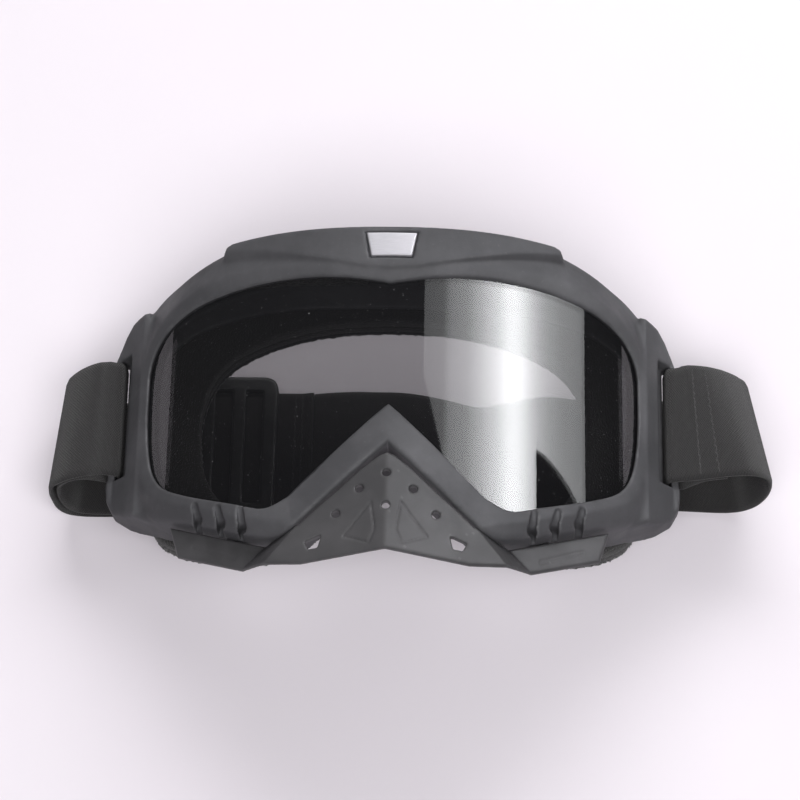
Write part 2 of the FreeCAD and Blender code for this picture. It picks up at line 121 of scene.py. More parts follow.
# ---- curves and fields -----------------------------------------------------------------------------------
def curve(points, step=0.9):
    """A smooth line through the points, sampled about every step."""
    p = np.array(points, float)
    t = np.concatenate([[0], np.cumsum(np.linalg.norm(np.diff(p, axis=0), axis=1) ** 0.6)])
    slope = np.gradient(p, t, axis=0)
    length = np.linalg.norm(np.diff(p, axis=0), axis=1).sum()
    s = np.linspace(0, t[-1], max(int(length / step), 4))
    k = np.clip(np.searchsorted(t, s, side="right") - 1, 0, len(t) - 2)
    h = (t[k + 1] - t[k])[:, None]
    u = (s - t[k])[:, None] / h
    return ((1 + 2 * u) * (1 - u) ** 2 * p[k] + u * (1 - u) ** 2 * h * slope[k]
            + u * u * (3 - 2 * u) * p[k + 1] + u * u * (u - 1) * h * slope[k + 1])


def ring(half):
    """The closed outline of a half: smooth, but straight along the nose."""
    right = np.vstack([curve(half[:-1]), [half[-1]]])
    return np.vstack([right, right[-2:0:-1] * (-1, 1)])


def mirrored(points):
    right = np.array(points, float)
    return np.vstack([right, right[::-1] * (-1, 1)])


class Grid:
    def __init__(self, x, y, z, step):
        self.step = step
        self.low = np.array([x[0], y[0], z[0]], float)
        axes = [np.arange(a, b + step, step, dtype=np.float32) for a, b in (x, y, z)]
        self.x, self.y, self.z = np.ix_(*axes)

    def plan(self, outline, fold=False):
        """Distance to a closed outline in the XY plane. Fold uses the outline on both sides of X = 0."""
        x, y = np.broadcast_arrays(np.abs(self.x[:, :, 0]) if fold else self.x[:, :, 0], self.y[:, :, 0])
        best = np.full(x.shape, np.inf)
        inside = np.zeros(x.shape, bool)
        for (ax, ay), (bx, by) in zip(outline, np.roll(outline, -1, axis=0)):
            ex, ey = bx - ax, by - ay
            t = np.clip(((x - ax) * ex + (y - ay) * ey) / (ex * ex + ey * ey + 1e-12), 0, 1)
            best = np.minimum(best, (x - ax - t * ex) ** 2 + (y - ay - t * ey) ** 2)
            if ay != by:
                inside ^= ((y < ay) != (y < by)) & (x < ax + (y - ay) / (by - ay) * ex)
        return (np.where(inside, -1, 1) * np.sqrt(best)).astype(np.float32)[:, :, None]

    def dome(self, top, radius):
        """Distance to a cylinder along Y whose crest is at that height."""
        return np.sqrt(self.x ** 2 + (self.z - (top - radius)) ** 2) - radius

    def lens_face(self, rise):
        return self.dome(LENS_TOP, LENS_RADIUS) - rise

    def slab(self, axis, low, high, fold=False):
        value = getattr(self, axis)
        value = np.abs(value) if fold else value
        return np.abs(value - (low + high) / 2) - (high - low) / 2


def both(a, b, r=0.0):
    """What is inside both fields, with its edges rounded by r."""
    top = np.maximum(a, b)
    return top + np.maximum(r - np.abs(a - b), 0) ** 2 / (4 * r) if r else top


def either(a, b, r=0.0):
    return -both(-a, -b, r)


def without(a, b, r=0.0):
    return both(a, -b, r)


def skin(field, grid):
    """A quad mesh of the field's zero level: one point in each cell that it crosses (surface nets)."""
    solid = field < 0
    corners = [(i, j, k) for i in (0, 1) for j in (0, 1) for k in (0, 1)]
    n = np.array(field.shape) - 1
    count = sum(solid[i:i + n[0], j:j + n[1], k:k + n[2]].astype(np.int8) for i, j, k in corners)
    cells = np.argwhere((count > 0) & (count < 8))
    ids = np.full(n, -1, np.int32)
    ids[tuple(cells.T)] = np.arange(len(cells))
    value = {c: field[tuple((cells + c).T)] for c in corners}
    total, hits = np.zeros((len(cells), 3)), np.zeros((len(cells), 1))
    for a in corners:
        for axis in range(3):
            if a[axis]:
                continue
            step = np.eye(3)[axis]
            start, end = value[a], value[tuple(int(v) for v in a + step)]
            crosses = ((start < 0) != (end < 0))[:, None]
            along = (start / np.where(crosses[:, 0], start - end, 1))[:, None]
            total += np.where(crosses, a + along * step, 0)
            hits += crosses
    points = grid.low + (cells + total / hits) * grid.step
    quads = []
    for axis in range(3):
        e, u, v = np.roll(np.eye(3, dtype=int), -axis, axis=0)
        near = tuple(slice(0, m) for m in n + 1 - e)
        far = tuple(slice(d, None) for d in e)
        at = np.argwhere(solid[near] != solid[far])
        at = at[(at @ u > 0) & (at @ v > 0) & (at @ u < n @ u) & (at @ v < n @ v)]
        quad = np.stack([ids[tuple((at - s).T)] for s in (0 * e, u, u + v, v)], 1)
        flip = solid[tuple(at.T)]
        quad[flip] = quad[flip][:, ::-1]
        quads.append(quad[(quad >= 0).all(1)])
    return points, np.vstack(quads)[:, ::-1]


# ---- materials -------------------------------------------------------------------------------------------
class Nodes:
    """A material's node tree, written as nested calls."""
    def __init__(self, name):
        self.material = bpy.data.materials.new(name)
        self.material.use_nodes = True
        self.tree = self.material.node_tree
        self.shader = self.tree.nodes["Principled BSDF"]

    def add(self, kind, inputs=None, out=0, **settings):
        node = self.tree.nodes.new(kind)
        for key, value in settings.items():
            setattr(node, key, value)
        for key, value in (inputs or {}).items():
            self.set(node.inputs[key], value)
        return node.outputs[out]

    def set(self, socket, value):
        if isinstance(value, bpy.types.NodeSocket):
            self.tree.links.new(value, socket)
        else:
            socket.default_value = value

    def place(self):
        return self.add("ShaderNodeTexCoord", out="Object")

    def noise(self, scale, detail=3.0, roughness=0.55, where=None):
        inputs = {"Vector": where or self.place(), "Scale": scale, "Detail": detail, "Roughness": roughness}
        return self.add("ShaderNodeTexNoise", inputs)

    def math(self, operation, a, b=0.0):
        return self.add("ShaderNodeMath", {0: a, 1: b}, operation=operation)

    def spread(self, value, low, high, to_low=0.0, to_high=1.0):
        return self.add("ShaderNodeMapRange", {"Value": value, "From Min": low, "From Max": high,
                                               "To Min": to_low, "To Max": to_high}, clamp=True)

    def mix(self, factor, a, b):
        node = self.tree.nodes.new("ShaderNodeMix")
        node.data_type = "RGBA"
        self.set(node.inputs[0], factor)
        self.set(node.inputs[6], a)
        self.set(node.inputs[7], b)
        return node.outputs[2]

    def bump(self, height, distance, strength=1.0, normal=None):
        inputs = {"Height": height, "Distance": distance, "Strength": strength}
        if normal:
            inputs["Normal"] = normal
        return self.add("ShaderNodeBump", inputs)

    def finish(self, **inputs):
        for key, value in inputs.items():
            self.set(self.shader.inputs[key.replace("_", " ")], value)
        return self.material


def grey(value, warm=0.0):
    return (value * (1 + warm), value, value * (1 - warm * 0.6), 1.0)


def moulded_rubber():
    """Satin thermoplastic rubber: fine grain, cloudy bloom and paler rubbed ridges."""
    n = Nodes("moulded_rubber")
    cloud = n.spread(n.noise(38, 5, 0.6), 0.42, 0.68)
    dust = n.spread(n.noise(900, 2, 0.5), 0.66, 0.80)
    ridge = n.spread(n.add("ShaderNodeNewGeometry", out="Pointiness"), 0.515, 0.56)
    rubbed = n.math("MULTIPLY", ridge, n.spread(n.noise(160, 4, 0.6), 0.40, 0.66))
    colour = n.mix(cloud, (0.062, 0.0615, 0.0665, 1), (0.086, 0.085, 0.0915, 1))
    colour = n.mix(n.math("MULTIPLY", rubbed, 0.55), colour, (0.145, 0.144, 0.150, 1))
    colour = n.mix(n.math("MULTIPLY", dust, 0.12), colour, (0.20, 0.20, 0.21, 1))
    rough = n.spread(n.noise(120, 4, 0.6), 0.3, 0.7, 0.50, 0.64)
    gloss = n.spread(cloud, 0.0, 1.0, 0.13, 0.18)
    grain = n.bump(n.noise(2600, 3, 0.6), 0.00006, 0.5)
    soft = n.bump(n.noise(55, 3, 0.5), 0.00025, 0.35, grain)
    return n.finish(Base_Color=colour, Roughness=rough, Normal=soft, Specular_IOR_Level=gloss)


def guard_plastic():
    """Harder, smoother plastic with a fine spark-eroded grain, hairline scuffs and a painted highlight along
    its sharp edges.
    """
    n = Nodes("guard_plastic")
    stretch = n.add("ShaderNodeMapping", {"Vector": n.place(), "Rotation": (0, 0, 0.6), "Scale": (1, 14, 6)})
    scuff = n.spread(n.noise(420, 3, 0.6, stretch), 0.60, 0.74)
    cloud = n.spread(n.noise(60, 4, 0.55), 0.40, 0.66)
    ridge = n.spread(n.add("ShaderNodeNewGeometry", out="Pointiness"), 0.53, 0.60)
    colour = n.mix(cloud, (0.056, 0.055, 0.058, 1), (0.072, 0.070, 0.074, 1))
    colour = n.mix(n.math("MULTIPLY", scuff, 0.07), colour, (0.17, 0.165, 0.17, 1))
    # painted highlight: the colour is paler along every sharp edge, where light would catch
    colour = n.mix(n.math("MULTIPLY", ridge, 0.15), colour, (0.20, 0.195, 0.20, 1))
    rough = n.spread(n.noise(200, 4, 0.6), 0.3, 0.7, 0.40, 0.52)
    gloss = n.spread(cloud, 0.0, 1.0, 0.14, 0.19)
    grain = n.bump(n.noise(3800, 2, 0.5), 0.00004, 0.45)
    return n.finish(Base_Color=colour, Roughness=rough, Normal=grain, Specular_IOR_Level=gloss)


def slider_plastic():
    n = Nodes("slider_plastic")
    colour = n.mix(n.spread(n.noise(140, 4), 0.4, 0.7), (0.022, 0.022, 0.023, 1), (0.040, 0.040, 0.042, 1))
    rough = n.spread(n.noise(300, 3), 0.3, 0.7, 0.38, 0.52)
    return n.finish(Base_Color=colour, Roughness=rough, Normal=n.bump(n.noise(3000, 2), 0.00005, 0.5))


def smoke_lens():
    """Smoke-tinted polycarbonate: what is behind shows through both faces, under a hard gloss."""
    n = Nodes("smoke_lens")
    rough = n.spread(n.noise(25, 3), 0.35, 0.7, 0.015, 0.035)
    dust = n.spread(n.noise(1500, 1, 0.5), 0.765, 0.80)
    colour = n.mix(dust, (0.006, 0.006, 0.0075, 1), (0.35, 0.35, 0.36, 1))
    alpha = n.math("MAXIMUM", n.spread(rough, 0.015, 0.035, 0.425, 0.435), n.math("MULTIPLY", dust, 0.62))
    return n.finish(Base_Color=colour, Roughness=rough, Alpha=alpha, IOR=1.6, Specular_IOR_Level=0.9)


def silver_inlay():
    n = Nodes("silver_inlay")
    brushed = n.add("ShaderNodeMapping", {"Vector": n.place(), "Scale": (1, 60, 1)})
    streak = n.noise(300, 3, 0.6, brushed)
    colour = n.mix(n.spread(streak, 0.35, 0.65), (0.37, 0.36, 0.39, 1), (0.46, 0.45, 0.48, 1))
    rough = n.spread(streak, 0.3, 0.7, 0.42, 0.55)
    sheen = n.spread(streak, 0.3, 0.7, 0.35, 0.45)
    return n.finish(Base_Color=colour, Metallic=sheen, Roughness=rough, Normal=n.bump(streak, 0.00002, 0.4))


def open_foam(name, tone, cell, depth):
    """Cellular foam: pits between cell walls, with painted shade in the pits, and slightly uneven dye."""
    n = Nodes(name)
    cells = n.add("ShaderNodeTexVoronoi", {"Vector": n.place(), "Scale": cell, "Randomness": 1.0})
    pits = n.spread(cells, 0.1, 0.6)
    # painted shade: the colour is darker down in each pit than on the cell walls
    colour = n.mix(pits, grey(tone * 0.45), grey(tone * 1.3, 0.04))
    colour = n.mix(n.spread(n.noise(70, 3), 0.4, 0.7, 0, 0.35), colour, grey(tone * 1.8, 0.05))
    bump = n.bump(pits, depth, 0.8)
    return n.finish(Base_Color=colour, Roughness=0.95, Normal=bump, Sheen_Weight=0.12, Sheen_Roughness=0.6)


def fleece():
    n = Nodes("fleece")
    nap = n.noise(1700, 4, 0.75)
    tufts = n.noise(320, 3, 0.6)
    colour = n.mix(n.spread(nap, 0.35, 0.7), (0.012, 0.012, 0.013, 1), (0.055, 0.052, 0.055, 1))
    bump = n.bump(tufts, 0.0006, 0.6, n.bump(nap, 0.0004, 0.9))
    return n.finish(Base_Color=colour, Roughness=1.0, Normal=bump, Sheen_Weight=0.5, Sheen_Roughness=0.4)


WEAVE_PITCH = 0.8            # mm between the strap's woven ribs


def webbing():
    """Woven elastic: ribs across the strap, broken into picks along each rib. The UVs are in millimetres."""
    n = Nodes("webbing")
    uv = n.add("ShaderNodeTexCoord", out="UV")
    parts = n.tree.nodes.new("ShaderNodeSeparateXYZ")
    n.set(parts.inputs[0], uv)
    along, across = parts.outputs[0], parts.outputs[1]
    turn = 2 * math.pi / WEAVE_PITCH
    wobble = n.spread(n.noise(500, 2), 0.3, 0.7, -0.35, 0.35)
    rib = n.math("SINE", n.math("ADD", n.math("MULTIPLY", along, turn), wobble))
    half_pick = n.math("MULTIPLY", n.math("SIGN", rib), 1.57)
    shifted = n.math("ADD", n.math("MULTIPLY", across, turn * 0.8), half_pick)
    pick = n.math("SINE", n.math("ADD", shifted, wobble))
    height = n.math("ADD", n.math("ABSOLUTE", rib), n.math("MULTIPLY", pick, 0.45))
    fibre = n.noise(4200, 3, 0.7)
    lit = n.spread(height, -0.2, 1.3)
    colour = n.mix(lit, (0.009, 0.0085, 0.009, 1), (0.031, 0.029, 0.030, 1))
    colour = n.mix(n.spread(fibre, 0.45, 0.75, 0, 0.5), colour, (0.050, 0.047, 0.049, 1))
    colour = n.mix(n.spread(n.noise(60, 3), 0.4, 0.7, 0, 0.3), colour, (0.022, 0.0205, 0.0215, 1))
    bump = n.bump(height, 0.00022, 0.9, n.bump(fibre, 0.00008, 0.7))
    rough = n.spread(fibre, 0.3, 0.7, 0.82, 0.95)
    sheen = n.spread(fibre, 0.3, 0.7, 0.10, 0.20)
    return n.finish(Base_Color=colour, Roughness=rough, Normal=bump, Specular_IOR_Level=0.3,
                    Sheen_Weight=sheen, Sheen_Roughness=0.45)


def thread():
    n = Nodes("thread")
    twist = n.add("ShaderNodeTexWave", {"Vector": n.place(), "Scale": 900, "Distortion": 1.5},
                  bands_direction="DIAGONAL")
    # painted shade: the thread is darker in the grooves of its twist and lighter on the crests
    colour = n.mix(twist, (0.012, 0.0115, 0.012, 1), (0.044, 0.041, 0.042, 1))
    return n.finish(Base_Color=colour, Roughness=0.7, Normal=n.bump(twist, 0.00006, 0.8), Sheen_Weight=0.2)


# ---- pieces ----------------------------------------------------------------------------------------------
def make_piece(name, points, faces, material, body, node, uv=None):
    mesh = bpy.data.meshes.new(name)
    mesh.from_pydata((np.asarray(points) * MM).tolist(), [], np.asarray(faces).tolist())
    mesh.validate()
    if uv is not None:
        layer = mesh.uv_layers.new(name="cloth")
        corner = np.empty(len(mesh.loops), np.int32)
        mesh.loops.foreach_get("vertex_index", corner)
        layer.data.foreach_set("uv", np.asarray(uv, np.float32)[corner].ravel())
    mesh.shade_smooth()
    mesh.materials.append(material)
    piece = bpy.data.objects.new(name, mesh)
    bpy.context.collection.objects.link(piece)
    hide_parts(node)
    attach(piece, body)
    return piece


def front_rise(grid):
    """Height of the frame's face over the lens: a rim band with a crease, sloping away outside it."""
    rim = grid.plan(ring(RIM_EDGE))
    outside = (rim + np.sqrt(rim ** 2 + 0.5)) / 2
    inside = outside - rim
    nose = np.clip((8 - grid.y) / 20, 0, 1) * np.maximum(22 - np.sqrt(grid.x ** 2 + 0.4), 0)
    near_brow = np.clip(grid.y / 15, 0, 1) * (1 - np.clip((np.abs(grid.x) - 50) / 20, 0, 1))
    fall = RIM_FALL - RIM_FALL_EASE * near_brow
    return RIM_RISE - fall * outside - RIM_DISH * inside + NOSE_RISE * nose


def ears(grid):
    """Both strap ears: plates that rise from their bars towards the frame."""
    face = EAR_Z[1] + EAR_SLOPE * np.clip(91 - np.abs(grid.x), 0, 9)
    thickness = both(grid.z - face, EAR_Z[0] - grid.z, 1.5)
    return both(grid.plan(np.array(EAR, float), fold=True), thickness, 1.5)


def ear_openings(grid):
    """The strap's window, and the room round the bar outside it."""
    strap = grid.slab("y", STRAP_Y - SLOT_HALF, STRAP_Y + SLOT_HALF)
    x = np.abs(grid.x)
    recess = both(grid.slab("x", SLOT_INNER_X, BAR_X[0], fold=True), WEB_TOP - grid.z)
    window = either(grid.slab("x", WEB_X, BAR_X[0], fold=True), recess)
    over = both(SLOT_INNER_X - x, BAR_Z[1] - grid.z)
    below = both(WEB_X - x, grid.z - BAR_Z[0])
    outside = BAR_X[1] - x
    return both(strap, either(either(window, over), either(below, outside)))


def bottom_vents(grid, face):
    """Each is a groove that widens and deepens down to a round hole."""
    cut = None
    x = np.abs(grid.x)
    for (top_x, top_y), (hole_x, hole_y) in BOTTOM_VENTS:
        run_x, run_y = hole_x - top_x, hole_y - top_y
        t = np.clip(((x - top_x) * run_x + (grid.y - top_y) * run_y) / (run_x ** 2 + run_y ** 2), 0, 1)
        across = np.sqrt((x - top_x - t * run_x) ** 2 + (grid.y - top_y - t * run_y) ** 2) - 0.9 - 0.35 * t
        groove_cut = both(across, -(face + 1.0 + 1.4 * t), 0.7)
        hole = np.sqrt((x - hole_x) ** 2 + (grid.y - hole_y) ** 2) - VENT_HOLE_RADIUS
        found = either(groove_cut, both(hole, -(face + VENT_HOLE_DEPTH)), 0.3)
        cut = found if cut is None else either(cut, found)
    return cut


def top_vents(grid):
    """Rounded windows through the upper wall."""
    cut = None
    wide, high = TOP_VENT_HALF
    for x, z in TOP_VENTS:
        hole = both(grid.slab("x", x - wide, x + wide, fold=True), grid.slab("z", z - high, z + high), 2.0)
        hole = both(hole, TOP_VENT_Y - grid.y)
        cut = hole if cut is None else either(cut, hole)
    return cut


def badge_outline(grow):
    (top_x, top_y), (low_x, low_y) = BADGE
    return mirrored([(top_x + grow, top_y + grow), (low_x + grow, low_y - grow)])


def peg(grid, radius, low):
    """A rod along Y at each peg's place, from low upwards."""
    rod = np.sqrt((np.abs(grid.x) - PEG_X) ** 2 + (grid.z - PEG_Z) ** 2) - radius
    return both(rod, low - grid.y)


def build_frame(material):
    grid = Grid((-96, 96), (-60, 48), (8, 90), 0.6)
    face = grid.lens_face(front_rise(grid)) * FACE_STEEPNESS
    solid = both(face, grid.plan(ring(BODY_EDGE)), 1.6)
    brow = mirrored(np.vstack([curve(BROW_CREST), BROW_END, curve(BROW_CREASE)]))
    wall = BROW_WALL * np.clip((np.abs(grid.x) - 6) / 34, 0, 1)
    crease_x, crease_y = np.array(BROW_CREASE[::-1], float).T
    above = grid.y - np.interp(np.abs(grid.x), crease_x, crease_y)
    top = grid.lens_face(BROW_RISE - BROW_WALL_SLOPE * np.clip(wall - above, 0, 4))
    plate = both(grid.plan(brow), top, 1.6)
    solid = either(solid, without(plate, grid.lens_face(-BROW_ROOT)), 0.8)
    solid = either(solid, ears(grid), 2.5)
    solid = without(solid, ear_openings(grid), 0.6)
    solid = without(solid, grid.dome(REAR_TOP, FACE_RADIUS), 0.8)
    room = without(grid.lens_face(-LIP), grid.dome(REAR_TOP + FLANGE_THICK, FACE_RADIUS + FLANGE_THICK))
    solid = without(solid, both(grid.plan(ring(CAVITY)), room, 1.0), 0.6)
    solid = without(solid, both(grid.plan(ring(FLANGE_WINDOW)), grid.lens_face(-LIP - 4)), 0.8)
    window = grid.plan(ring(LENS_WINDOW))
    solid = without(solid, without(window, grid.lens_face(-LIP - 5)), 0.9)
    solid = without(solid, both(window - 1.5, grid.lens_face(-LENS_THICK)), 0.4)
    solid = without(solid, bottom_vents(grid, face), 0.5)
    solid = without(solid, top_vents(grid), 0.5)
    badge = both(grid.plan(badge_outline(0.45)), -grid.lens_face(BROW_RISE - 1.3))
    solid = without(solid, badge, 0.3)
    solid = without(solid, both(peg(grid, PEG_RADIUS + 0.2, -60), grid.y + 44))
    points, faces = skin(solid, grid)
    make_piece("frame_moulding", points, faces, material, "goggles", "frame_shell")


def build_lens(material):
    """Two cylindrical faces between the upper and lower edge of the outline, joined round the rim."""
    edge = ring(LENS_WINDOW)
    along = np.roll(edge, -1, axis=0) - np.roll(edge, 1, axis=0)
    normal = np.stack([-along[:, 1], along[:, 0]], 1) / np.linalg.norm(along, axis=1)[:, None]
    outward = np.sign((normal * (edge - (0, -5))).sum(1).mean())
    edge = edge + normal * LENS_OVERLAP * outward
    right = edge[edge[:, 0] >= -0.01]
    tip = right[:, 0].max()
    turn = right[:, 0].argmax()
    upper, lower = right[:turn + 1], right[turn:][::-1]
    columns = tip * np.sin(np.linspace(-math.pi / 2, math.pi / 2, 161))
    rows = np.linspace(0, 1, 45)
    low = np.interp(np.abs(columns), lower[:, 0], lower[:, 1])
    high = np.interp(np.abs(columns), upper[:, 0], upper[:, 1])
    y = low[:, None] + (high - low)[:, None] * rows
    x = np.broadcast_to(columns[:, None], y.shape)
    sheets = []
    for radius in (LENS_RADIUS, LENS_RADIUS - LENS_THICK):
        z = LENS_TOP - LENS_RADIUS + np.sqrt(radius ** 2 - x ** 2)
        sheets.append(np.stack([x, y, z], 2).reshape(-1, 3))
    m, n = y.shape
    index = np.arange(m * n).reshape(m, n)
    quad = np.stack([index[:-1, :-1], index[1:, :-1], index[1:, 1:], index[:-1, 1:]], 2).reshape(-1, 4)
    rim = np.concatenate([index[:, 0], index[-1, 1:], index[-2::-1, -1], index[0, -2:0:-1]])
    wall = np.stack([rim, rim + m * n, np.roll(rim, -1) + m * n, np.roll(rim, -1)], 1)
    faces = np.vstack([quad, quad[:, ::-1] + m * n, wall])
    make_piece("lens_shield", np.vstack(sheets), faces, material, "goggles", "lens")


def build_badge(material):
    grid = Grid((-10, 10), (31, 44), (82, 88), 0.25)
    solid = both(grid.plan(badge_outline(-0.05)), grid.lens_face(BROW_RISE + 0.25), 0.5)
    points, faces = skin(without(solid, grid.lens_face(BROW_RISE - 1.2)), grid)
    make_piece("badge_inlay", points, faces, material, "goggles", "brow_badge")


def beyond(grid, line):
    """Signed distance from a line in the plan, positive on its outer side, on both halves."""
    (ax, ay), (bx, by) = line
    length = math.hypot(bx - ax, by - ay)
    return ((np.abs(grid.x) - ax) * (ay - by) + (grid.y - ay) * (bx - ax)) / length


def groove(distance, width=0.26):
    return np.exp(-(distance / width) ** 2)


def guard_face(grid):
    x = np.sqrt(grid.x ** 2 + 0.25)
    beak, wing = (base + by_x * x + by_y * grid.y for base, by_x, by_y in (GUARD_BEAK, GUARD_WING))
    side, plate = beyond(grid, BEAK_SIDE), beyond(grid, WING_SIDE)
    slope = np.clip(side / np.maximum(side - plate, 0.5), 0, 1)
    face = beak * (1 - slope) + wing * slope
    triangle = np.abs(grid.plan(np.array(BEAK_TRIANGLE, float), fold=True))
    line = np.abs(grid.plan(np.array(WING_LINE, float), fold=True))
    return face - 0.35 * groove(triangle) - 0.3 * groove(line)


def build_guard(material):
    grid = Grid((-71, 71), (-68.5, -30), (42, 91), 0.4)
    face = guard_face(grid)
    lean = 0.86
    shell = both((grid.z - face) * lean, (face - GUARD_THICK - grid.z) * lean, 0.5)
    solid = both(grid.plan(mirrored(GUARD_EDGE)), shell, 0.9)
    boss = grid.slab("x", PEG_X - BOSS_HALF, PEG_X + BOSS_HALF, fold=True)
    boss = both(boss, grid.slab("y", *BOSS_Y), 0.8)
    boss = both(boss, both(PEG_Z - 2.2 - grid.z, grid.z - face + 1.0), 0.8)
    rod = both(peg(grid, PEG_RADIUS, PEG_Y[0]), grid.y - PEG_Y[1], 0.8)
    solid = either(solid, either(boss, rod, 0.5), 0.8)
    for x, y in GUARD_HOLES:
        hole = np.sqrt((np.abs(grid.x) - x) ** 2 + (grid.y - y) ** 2) - GUARD_HOLE_RADIUS
        solid = without(solid, hole + 0 * grid.z, 0.4)
    solid = without(solid, grid.plan(np.array(GUARD_D_HOLE, float), fold=True) - 0.4 + 0 * grid.z, 0.4)
    points, faces = skin(solid, grid)
    make_piece("guard_moulding", points, faces, material, "guard", "nose_guard")


def build_foam(materials):
    grid = Grid((-88, 88), (-58, 48), (0, 53), 0.8)
    wall = without(grid.plan(ring(FOAM_EDGE)), grid.plan(ring(FOAM_WINDOW)))
    top = REAR_TOP
    for name, thick in FOAM_LAYERS:
        material, slot = materials[name]
        layer = both(grid.dome(top - GLUE, FACE_RADIUS), -grid.dome(top - thick, FACE_RADIUS), 0.8)
        solid = both(layer, wall + (0.5 if name == "foam_core" else 0), 2.0)
        points, faces = skin(solid, grid)
        if name == "fleece_liner":
            points = points + rng.normal(0, 0.12, points.shape)
        pad = make_piece(name + "_pad", points, faces, material, "goggles", name)
        top -= thick


def build_filters(material):
    grid = Grid((-64, 64), (-56, 44), (40, 72), 0.9)
    depth = grid.plan(ring(CAVITY)) + GLUE + FILTER_THICK / 2
    strip = np.abs(depth) - FILTER_THICK / 2
    room = without(grid.lens_face(-LIP - 1), grid.dome(REAR_TOP + FLANGE_THICK + 0.3, FACE_RADIUS))
    places = {"top": ((8, 54), (20, 46), (51, 68)), "bottom": ((40.5, 62), (-60, -36), (47, 62))}
    for where, (x, y, z) in places.items():
        for side, sign in (("left", 1), ("right", -1)):
            span = sorted((x[0] * sign, x[1] * sign))
            block = both(both(grid.slab("x", *span), grid.slab("z", *z)), grid.slab("y", *y))
            solid = both(both(strip, room, 0.6), block, 0.6)
            if where == "bottom":
                solid = without(solid, peg(grid, PEG_RADIUS + 0.8, -70))
            points, faces = skin(solid, grid)
            node = f"{where}_vent_filter_{side}"
            piece = make_piece(node + "_foam", points, faces, material, "goggles", node)


def build_slider(material):
    x0, x1 = SLIDER_X
    grid = Grid((x0 - 2, x1 + 2), (STRAP_Y - 28, STRAP_Y + 28), (-1, 9), 0.35)
    half = STRAP_WIDTH / 2 + 0.5
    sides = grid.slab("y", STRAP_Y - half - SLIDER_SIDE, STRAP_Y + half + SLIDER_SIDE)
    block = both(grid.slab("x", x0, x1), sides, 5)
    block = both(block, grid.slab("z", 0, SLIDER_TOP), 1.4)
    inside = grid.slab("y", STRAP_Y - half, STRAP_Y + half)
    way = both(inside, grid.slab("z", *SLIDER_WAY))
    window = both(inside, grid.slab("x", x0 + SLIDER_BAR, x1 - SLIDER_BAR), 1.0)
    middle = (x0 + x1) / 2
    bar = grid.slab("x", middle - SLIDER_MIDDLE_HALF, middle + SLIDER_MIDDLE_HALF)
    bar = both(bar, grid.slab("z", SLIDER_WAY[1], SLIDER_TOP), 0.8)
    bar = both(bar, grid.slab("y", STRAP_Y - half - 1, STRAP_Y + half + 1))
    solid = without(without(block, way, 0.3), window, 0.8)
    points, faces = skin(either(solid, bar, 0.4), grid)
    make_piece("slider_moulding", points, faces, material, "slider", "strap_slider")


# The strap's middle line as (x, z), from the sewn end round the right ear's bar, the right loop, the stretch
# under the foam, the left loop, the left ear's bar and back to the tail.
STRAP_LINE = [
    (105.5, 36.2), (100, 33.0), (96.6, 28.2), (93.6, 23.7), (91.2, 23.3), (89.45, 24.4), (89.2, 27.6),
    (89.9, 30.0), (92.2, 31.0), (96, 33.0), (101, 36.2), (106, 39.0), (111, 40.2), (115.6, 38.2),
    (118.6, 33), (119.4, 25), (118.4, 15), (115.6, 6.8), (111.5, 2.4), (106, 0.9), (98, 0.8), (70, 0.8),
    (30, 0.8), (-2, 0.8), (-8, 1.1), (-13, 1.95), (-18, 2.3), (-50, 2.3), (-85, 2.3), (-90, 1.8),
    (-94.5, 0.95), (-99, 0.8), (-103.5, 1.1), (-107.5, 3.2), (-109.8, 8), (-110.5, 17), (-110.2, 26),
    (-108.2, 32), (-104, 34.6), (-99, 34.3), (-95, 32.3), (-92.0, 31.0), (-89.9, 30.0), (-89.2, 27.6),
    (-89.45, 24.4), (-91.2, 23.3), (-93.6, 23.9), (-96.8, 27.6), (-100, 31.0), (-103.4, 32.1),
    (-106.4, 29.8), (-108.0, 25), (-108.3, 16), (-107.2, 8.2), (-104.6, 4.2), (-101, 2.9), (-96, 2.85),
    (-91, 3.6), (-86, 4.25), (-57, 4.25), (-28, 4.25)]

# Sideways ripples of the stretch under the foam: x, and the shift in y there.
RIPPLE = curve([(-32, 0), (-24, 1), (3, 2), (18, -0.7), (27.5, -3), (35.5, -2), (50, 1), (62, 0)], 2.0)


# In the right loop and the left one: how far the strap leans out and slips down, and the share of its height
# that it loses at its upper edge.
LOOP_LEAN, LOOP_SLIP, LOOP_DROP = (3.1, 1.6), (0.6, 4.0), (0.35, 0.25)


def loop_lean(x):
    """How far the strap's lower edge stands out from its middle line, in the loops beyond the ears."""
    return np.sign(x) * np.clip((np.abs(x) - 92) / 20, 0, 1) * np.where(x > 0, *LOOP_LEAN)


def loop_shift(x, z):
    """The strap's shift in y: slipped towards the nose in its loops, rippled where it lies on the table."""
    low = np.clip((10 - z) / 6, 0, 1)
    start = np.where(x > 0, 94, 94 - 13 * low)
    run = np.where(x > 0, 14, 14 - 3 * low)
    slipped = np.clip((np.abs(x) - start) / run, 0, 1) * np.where(x > 0, *LOOP_SLIP)
    ripple_x, ripple_y = RIPPLE.T
    return low * np.interp(x, ripple_x, ripple_y) - slipped


def loop_height(x, v):
    """Factor on the strap's height: the loops stand lower at its upper edge, where v is 1."""
    far = np.clip((np.abs(x) - 97) / 20, 0, 1)
    return 1 - np.where(x > 0, *LOOP_DROP) * far * (v + 1) / 2


